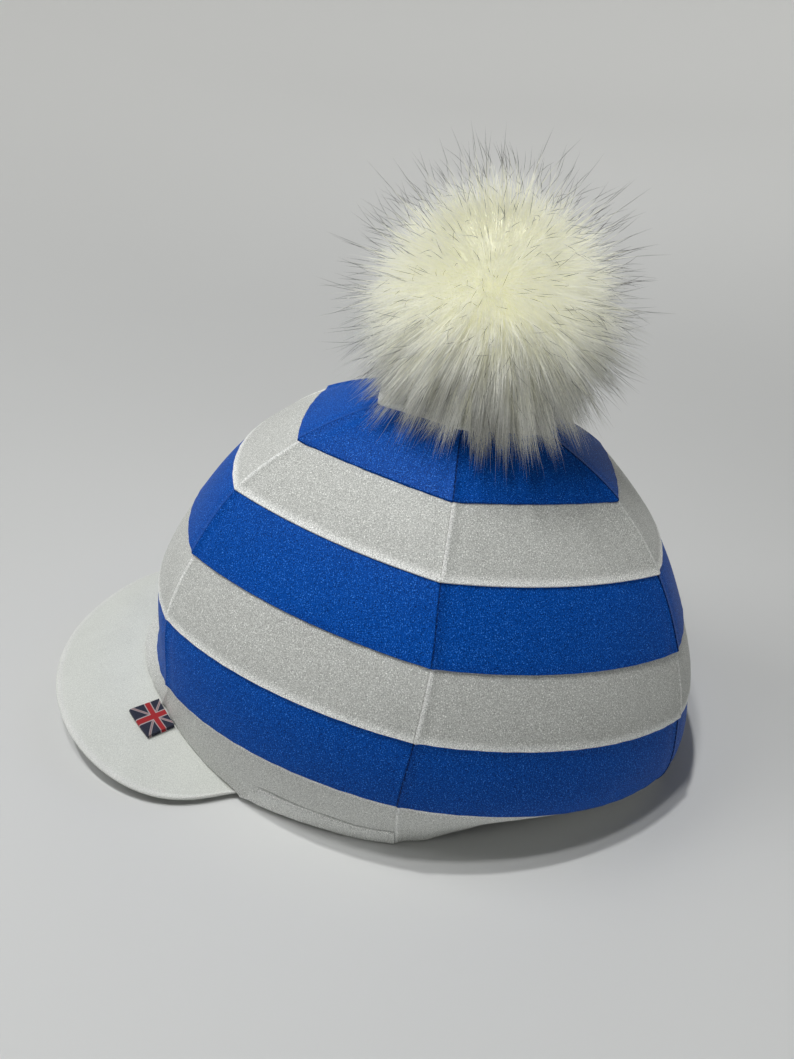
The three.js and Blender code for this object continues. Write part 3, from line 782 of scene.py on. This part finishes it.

# %% [markdown]
# ## Pompom
# The pompom is a padded ball covered in long faux fur. The fur is ivory with a warm
# cream depth, it gathers into small locks, its lower part hangs over the crown's tip,
# and sparse dark guard hairs stand out all round.
# Hair curves would not survive an export, so each strand is a thin three-sided tube,
# and thousands of them are computed together as one array.

# %% Pompom sizes
# Lengths, radii and droops are in mm; pulls, tones and painted shades are shares.
POMPOM_LIFT = 40
POMPOM_CENTRE = POLE + POMPOM_LIFT * TIP_AXIS
CORE_RADIUS, LUMP_HEIGHT = 34, 0.5
STRAND_COUNT, LOCK_COUNT, FUR_PIECES = 44000, 420, 4
COMBED_DOWN = np.array([0, 0, 0.13])
FUR_ROOT, FUR_RADIUS, FRINGE_RADIUS = 30, 0.13, 0.05
LOCK_PULL, FRINGE_PULL, DROOP, FRINGE_DROOP = 0.2, 0.5, 2.5, 13
# The shades darken the strands on top, and the fringe's tones darken the hanging fringe, as
# painted shade.
TONE_SPREAD, FRINGE_TONES_AND_SHADE, PAINTED_TOP_SHADE = 0.08, 0.66, 0.08
SHORT_FUR, LONG_FUR, TOP_TRIM = 14, 22, 8.5
FRINGE_LENGTH, LEFT_FRINGE, SIDE_TUFTS = 11, 7, 7
COMB_REACH, LYING_GAP, CROWN_HUMP = 2.6, 1.4, 5
GUARD_COUNT, TUFT_COUNT, GUARD_ROOT, GUARD_RADIUS = 1500, 700, 36, 0.15
SHORTEST_GUARD, LONGEST_GUARD = 17, 41
FUR_HOOPS = 4
SMOOTH = 180  # degrees
random = np.random.default_rng(12)


def spread_directions(count):
    """Even directions over a sphere: equal steps of height, turned by the golden angle."""
    height = 1 - (np.arange(count) + 0.5) / count * 2
    level = np.sqrt(1 - height ** 2)
    turn = np.arange(count) * np.pi * (3 - np.sqrt(5))
    return np.stack([np.cos(turn) * level, np.sin(turn) * level, height], axis=-1)


def unit(vectors):
    return vectors / np.linalg.norm(vectors, axis=-1, keepdims=True)


# %% Crown height under the fur
def hoop_table(hoop):
    """Round a hoop: how far it lies inside its full ellipse, and its height."""
    share = np.linspace(0, 1, 30)
    angles, ratios, heights = [], [], []
    for gore, (start, end, _, _) in GORES.items():
        points = hoop_point(hoop, gore, share)
        angle = start + (end - start) * share
        centre = np.array([0, HOOPS[hoop, 3] * CROWN_LENGTH / 2])
        reach = np.linalg.norm(points[:, :2] - centre, axis=1)
        angles.append(angle)
        ratios.append(reach / np.linalg.norm(hoop_plan(hoop, angle) - centre, axis=1))
        heights.append(points[:, 2])
    return np.concatenate(angles), np.concatenate(ratios), np.concatenate(heights)


def crown_height(points):
    """The crown's height under points, blended between the hoops inside and outside them."""
    height = [np.full(len(points), CROWN_HEIGHT, float)]
    distance = [np.linalg.norm(points[:, :2] - POLE[:2], axis=1)]
    for hoop in range(FUR_HOOPS):
        half_width, front, back, middle = HOOPS[hoop, :4]
        aside = points[:, 0] / (half_width * CROWN_WIDTH / 2)
        ahead = middle * CROWN_LENGTH / 2 - points[:, 1]
        ahead = ahead / (np.where(ahead > 0, front, back) * CROWN_LENGTH / 2)
        angle = np.degrees(np.arctan2(aside, ahead))
        angle = np.where(angle < GORES["front"][0], angle + 360, angle)
        angles, ratios, heights = hoop_table(hoop)
        outside = np.hypot(aside, ahead) / np.interp(angle, angles, ratios) - 1
        distance.append(outside * half_width * CROWN_WIDTH / 2)
        height.append(np.interp(angle, angles, heights))
    result = height[-1]
    for step in reversed(range(FUR_HOOPS)):
        near, far = distance[step].clip(0), (-distance[step + 1]).clip(0)
        share = near / (near + far + 1e-6)
        between = height[step] + (height[step + 1] - height[step]) * share
        between = between + CROWN_HUMP * share * (1 - share)
        result = np.where(distance[step + 1] < 0, between, result)
    return result


# %% Fur strands
def strand_paths(direction, lock, root, length, pull, droop, bend, levels):
    """Paths from the ball outwards: each strand leans towards its lock's middle, is
    combed sideways by slow waves, sags with the square of its length and rests on the
    crown where it meets it."""
    t = np.linspace(0, 1, levels)[None, :, None]
    heading = unit(direction[:, None] * (1 - pull * t) + lock[:, None] * pull * t)
    path = POMPOM_CENTRE + heading * (root + length[:, None, None] * t)
    d = direction
    comb = np.stack([
        np.sin(5.1 * d[:, 1] + 1.3) + 0.6 * np.sin(9.7 * d[:, 2]),
        np.sin(4.3 * d[:, 2] + 0.4) + 0.6 * np.sin(8.9 * d[:, 0] + 2),
        np.sin(4.9 * d[:, 0] + 2.2) + 0.5 * np.sin(8.1 * d[:, 1] + 1)], axis=-1)
    comb -= (comb * d).sum(axis=-1, keepdims=True) * d
    stray = random.normal(0, bend, (len(d), 3))
    path = path + (comb * COMB_REACH + stray)[:, None] * t ** 2
    path[..., 2] -= (droop[:, None, None] * t ** 2)[..., 0]
    flat = path.reshape(-1, 3)
    lying = crown_height(flat) + LYING_GAP + 3 * np.repeat(random.random(len(d)), levels)
    flat[:, 2] = np.maximum(flat[:, 2], lying)
    return path


def set_fur(piece, along, tone, glow, dark):
    """Stores what the fur's material reads at each point."""
    for name, values in (("along", along), ("tone", tone), ("glow", glow), ("dark", dark)):
        set_values(piece, name, values)


def strand_tubes(name, path, radius, tone, glow, dark):
    """Three-sided tapering tubes along paths, closed at the root and pointed at the tip."""
    count, levels = path.shape[:2]
    along_values = np.linspace(0, 1, levels)
    heading = unit(path[:, -1] - path[:, 0])
    first = unit(np.cross(heading, np.array([0.31, 0.57, 0.76])))
    second = np.cross(heading, first)
    turn = (np.arange(3) * 2 * np.pi / 3)[None, :, None]
    ring = first[:, None] * np.cos(turn) + second[:, None] * np.sin(turn)
    taper = (1 - along_values[:-1] ** 1.5 * 0.75)[None, :, None, None]
    tubes = path[:, :-1, None] + ring[:, None] * radius[:, None, None, None] * taper
    points = np.concatenate([tubes.reshape(count, -1, 3), path[:, -1:]], axis=1)
    each = points.shape[1]
    start = (np.arange(count) * each)[:, None]
    side, after = np.arange(3), (np.arange(3) + 1) % 3
    base = (np.arange(levels - 2) * 3)[:, None]
    quads = np.stack([base + side, base + after, base + 3 + after, base + 3 + side], axis=-1)
    last = (levels - 2) * 3
    ends = np.array([[0, 2, 1], *[[last + a, last + b, each - 1] for a, b in zip(side, after)]])
    piece = new_piece(
        name, placed(points.reshape(-1, 3)),
        [(start[:, :, None] + faces).reshape(-1, faces.shape[-1])
         for faces in (quads.reshape(-1, 4), ends)], SMOOTH)
    along = np.concatenate([np.repeat(along_values[:-1], 3), along_values[-1:]])
    set_fur(piece, np.tile(along, count), np.repeat(tone, each), np.repeat(glow, each), dark)
    return piece


def fur_finish():
    """Cream at the root, ivory outside, a tone for each strand, partly at random, and dark tips
    on the guard hairs. Pale fur passes light on from strand to strand more often than a render
    follows it, so a small painted glow stands for what is lost; it is painted light, and the
    tones carry painted shade on top and in the fringe."""
    finish = Finish("faux_fur", Specular_IOR_Level=0.3, Emission_Strength=1.0)
    along, tone, glow, dark = (finish.stored(n) for n in ("along", "tone", "glow", "dark"))
    outward = finish.step(along, 0.2, 0.95)
    colour = finish.mix(outward, (0.95, 0.943, 0.755, 1), (0.84, 0.845, 0.79, 1))
    tip = finish.step(along, 0.58, 0.74) * dark
    colour = finish.mix(tip, colour, (0.03, 0.028, 0.027, 1))
    shaded = finish.scaled(colour, tone)
    finish.feed("Base Color", shaded)
    # Painted light: the glow lightens each strand by its stored share.
    finish.feed("Emission Color", finish.scaled(shaded, glow))
    finish.feed("Roughness", 0.7 - tone * 0.2)
    return finish.material


def painted_fur_glow(directions):
    """Painted light for each strand, as a glow: most at the sides, less on top and least
    below, as if lit from above and a little from the front.
    """
    upward = directions @ unit(np.array([0, -0.25, 0.9]))
    lit = smooth_step(upward, -0.85, 0.1) * (1 - 0.5 * smooth_step(upward, 0.4, 1))
    return 0.135 + 0.105 * lit


def dress_fur(piece):
    piece.data.materials.append(FUR)
    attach(piece, "root")


FUR = fur_finish()
scatter = random.normal(0, 0.012, (STRAND_COUNT, 3))
directions = unit(spread_directions(STRAND_COUNT) + scatter - COMBED_DOWN)
directions = directions[directions @ TIP_AXIS > -0.9]
lock_middles = unit(spread_directions(LOCK_COUNT) + random.normal(0, 0.05, (LOCK_COUNT, 3)))
nearest = (directions.astype(np.float32) @ lock_middles.T.astype(np.float32)).argmax(axis=1)
lock_length = random.normal(1, 0.1, LOCK_COUNT)
below = smooth_step(-directions[:, 2], -0.15, 0.6)
above = smooth_step(directions[:, 2], -0.1, 0.9)
left = smooth_step(directions[:, 0], 0.0, 0.7)
fade = random.random(len(directions)) ** 3
spread = (LONG_FUR - 3 * above - 7 * below) * fade
length = (SHORT_FUR - TOP_TRIM * above + spread) * lock_length[nearest]
along_cap = np.abs(directions[:, 1])
aside = along_cap * smooth_step(-directions[:, 2], -0.25, 0.3)
fringe = (FRINGE_LENGTH + LEFT_FRINGE * left) * below * (1 - 0.5 * along_cap ** 1.5)
length = length + fringe + SIDE_TUFTS * aside * fade ** 0.5
droop = DROOP + FRINGE_DROOP * below * (1 - 0.6 * aside) + 2 * (1 - np.abs(directions[:, 2]))
pull = (LOCK_PULL + FRINGE_PULL * below)[:, None, None]
paths = strand_paths(
    directions, lock_middles[nearest], FUR_ROOT, length, pull, droop, bend=1.8, levels=4)
mixed = 0.5 * random.random(LOCK_COUNT)[nearest] + 0.5 * random.random(len(directions))
# Tones differ at random; the fringe's wider spread darkens it on the whole as painted shade under
# the ball, and strands on top get painted shade.
tones = (1 - (TONE_SPREAD + FRINGE_TONES_AND_SHADE * below) * mixed) * (1 - PAINTED_TOP_SHADE * above)
for number in range(FUR_PIECES):
    mine = slice(number, None, FUR_PIECES)
    tubes = strand_tubes(
        f"fur_{number + 1}", paths[mine], FUR_RADIUS + FRINGE_RADIUS * below[mine],
        tones[mine], painted_fur_glow(directions[mine]), dark=0.0)
    dress_fur(tubes)
    print(tubes.name, "triangles:", sum(len(p.vertices) - 2 for p in tubes.data.polygons))

# %% Guard hairs
guards = unit(spread_directions(GUARD_COUNT) + random.normal(0, 0.05, (GUARD_COUNT, 3)))
guards = guards[guards @ TIP_AXIS > -0.75]
tufts = unit(spread_directions(TUFT_COUNT) + random.normal(0, 0.06, (TUFT_COUNT, 3)))
tuft = tufts[(guards @ tufts.T).argmax(axis=1)]
guard_length = random.uniform(SHORTEST_GUARD, LONGEST_GUARD, len(guards))
guard_length = guard_length * (1 - 0.2 * smooth_step(guards[:, 2], 0, 1))
guard_paths = strand_paths(
    guards, tuft, GUARD_ROOT, guard_length, pull=0.6, droop=np.full(len(guards), 2.0),
    bend=4.5, levels=6)
guard_hairs = strand_tubes(
    "guard_hairs", guard_paths, np.full(len(guards), GUARD_RADIUS),
    random.uniform(0.8, 1, len(guards)), painted_fur_glow(guards), dark=1.0)
dress_fur(guard_hairs)

# %% Padded ball
def ball_piece():
    """The ball under the fur: a sphere with soft lumps where the locks are rooted."""
    rows, columns = 49, 96
    polar = np.linspace(0, np.pi, rows)[1:-1, None]
    turn = np.arange(columns)[None, :] * 2 * np.pi / columns
    level = np.sin(polar)
    way = np.stack([level * np.cos(turn), level * np.sin(turn), np.cos(polar) + 0 * turn], axis=-1)
    waves = np.sin(11 * way[..., 0]) * np.sin(9 * way[..., 1] + 1) * np.sin(10 * way[..., 2])
    lumpy = CORE_RADIUS + LUMP_HEIGHT * waves
    points = (POMPOM_CENTRE + way * lumpy[..., None]).reshape(-1, 3)
    poles = POMPOM_CENTRE + np.array([[0, 0, CORE_RADIUS], [0, 0, -CORE_RADIUS]])
    sides, number, after = ring_faces(rows - 2, columns)
    top = np.stack([np.full(columns, len(points)), number[0], after[0]], axis=-1)
    bottom = np.stack([np.full(columns, len(points) + 1), after[-1], number[-1]], axis=-1)
    everything = np.concatenate([points, poles])
    caps = np.concatenate([top, bottom])
    piece = new_piece("padded_ball", placed(everything), [sides, caps], SMOOTH)
    tone = 0.9 + 0.05 * np.sin(np.arange(len(everything)))
    set_fur(piece, 0.0, tone, painted_fur_glow(unit(everything - POMPOM_CENTRE)), 0.0)
    return piece


padded_ball = ball_piece()
dress_fur(padded_ball)
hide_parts("pompom")

# %% [markdown]
# ## Floor and light
# Pale paper lies flat under the cap and curves up high all round, like a deep bowl, so
# there is no horizon from any side. A sun-like lamp overhead gives the short dark shadow
# under the hem, a small lamp brightens the side that the photograph shows, and two wide
# lamps and a faint world fill the rest. Far paper glows a little, most behind the cap,
# where the photograph's is as pale as the floor.

# %% Floor
FLAT_RADIUS, INNER_RADIUS, BEND_RADIUS, BOWL_TURNS = 0.8, 0.4, 3.5, 64  # metres
BOWL_RISE = math.radians(70)
PAPER_DROP = 0.0004


def paper_bowl():
    """A flat floor that curves up in an arc, as a profile turned about z."""
    rise = np.linspace(0, BOWL_RISE, 40)
    reach = FLAT_RADIUS + BEND_RADIUS * np.sin(rise)
    height = BEND_RADIUS - BEND_RADIUS * np.cos(rise)
    profile = np.concatenate([[(INNER_RADIUS, 0.0)], np.stack([reach, height], axis=-1)])
    turn = np.arange(BOWL_TURNS) * 2 * np.pi / BOWL_TURNS
    ring = np.stack([np.cos(turn), np.sin(turn)], axis=-1)
    points = np.zeros((len(profile), BOWL_TURNS, 3))
    points[..., :2] = profile[:, :1, None] * ring
    points[..., 2] = profile[:, 1:] - PAPER_DROP
    sides, number, after = ring_faces(len(profile), BOWL_TURNS)
    everything = np.concatenate([points.reshape(-1, 3), [[0, 0, -PAPER_DROP]]])
    centre = np.stack([np.full(BOWL_TURNS, number.size), number[0], after[0]], axis=-1)
    return new_piece("paper_bowl", everything, [sides, centre], SMOOTH)


paper = Finish("pale_paper", Roughness=0.85, Emission_Strength=1.0)
paper_place = paper.node("TexCoord", output=3)
paper_tint = paper.noise(paper_place, 3)
distance = paper.node("VectorMath", {"operation": "DISTANCE"}, 1, n0=paper_place, n1=(0.2, 0, 0))
away = paper.step(distance, 0.5, 3)
to_left = paper.step(paper.node("SeparateXYZ", Vector=paper_place), -0.6, 1.2)
beyond = 1 - to_left * 0.65
near_tone = paper.mix(paper_tint, (0.66, 0.668, 0.66, 1), (0.68, 0.688, 0.68, 1))
paper.feed("Base Color", paper.mix(away, near_tone, (0.68, 0.685, 0.67, 1)))
paper.feed("Emission Color", paper.mix(away * beyond, (0, 0, 0, 1), (0.215, 0.215, 0.208, 1)))
bowl = paper_bowl()
bowl.data.materials.append(paper.material)


# %% Light
def soft_lamp(name, place, target, width, power):
    """A square lamp at a place, turned towards a target, both in metres."""
    data = bpy.data.lights.new(name, "AREA")
    data.size, data.energy = width, power
    lamp = bpy.data.objects.new(name, data)
    back = unit(np.subtract(place, target).astype(float))
    side = unit(np.cross((0.1, 1.0, 0.05), back))
    lamp.matrix_world = Matrix.Translation(place) @ Matrix(
        np.column_stack([side, np.cross(back, side), back]).tolist()).to_4x4()
    scene.collection.objects.link(lamp)


overhead = bpy.data.lights.new("overhead_lamp", "SUN")
overhead.energy, overhead.angle = 1.03, math.radians(2.5)
overhead_lamp = bpy.data.objects.new("overhead_lamp", overhead)
overhead_lamp.rotation_euler = (math.radians(14), 0, 0)
scene.collection.objects.link(overhead_lamp)
soft_lamp("near_lamp", (0.22, -0.07, 0.7), target=(0.05, 0, 0), width=0.05, power=1.15)
soft_lamp("side_fill", (0.2, -1.1, 1.4), target=(0, 0, 0.1), width=0.8, power=8)
soft_lamp("back_fill", (-1.5, 0.2, 1.2), target=(0, 0, 0.12), width=0.9, power=2)
world = bpy.data.worlds.new("pale_room")
world.use_nodes = True
background = world.node_tree.nodes["Background"].inputs
background["Color"].default_value = (1, 1, 0.99, 1)
background["Strength"].default_value = 0.02
scene.world = world
scene.view_settings.view_transform = "Standard"
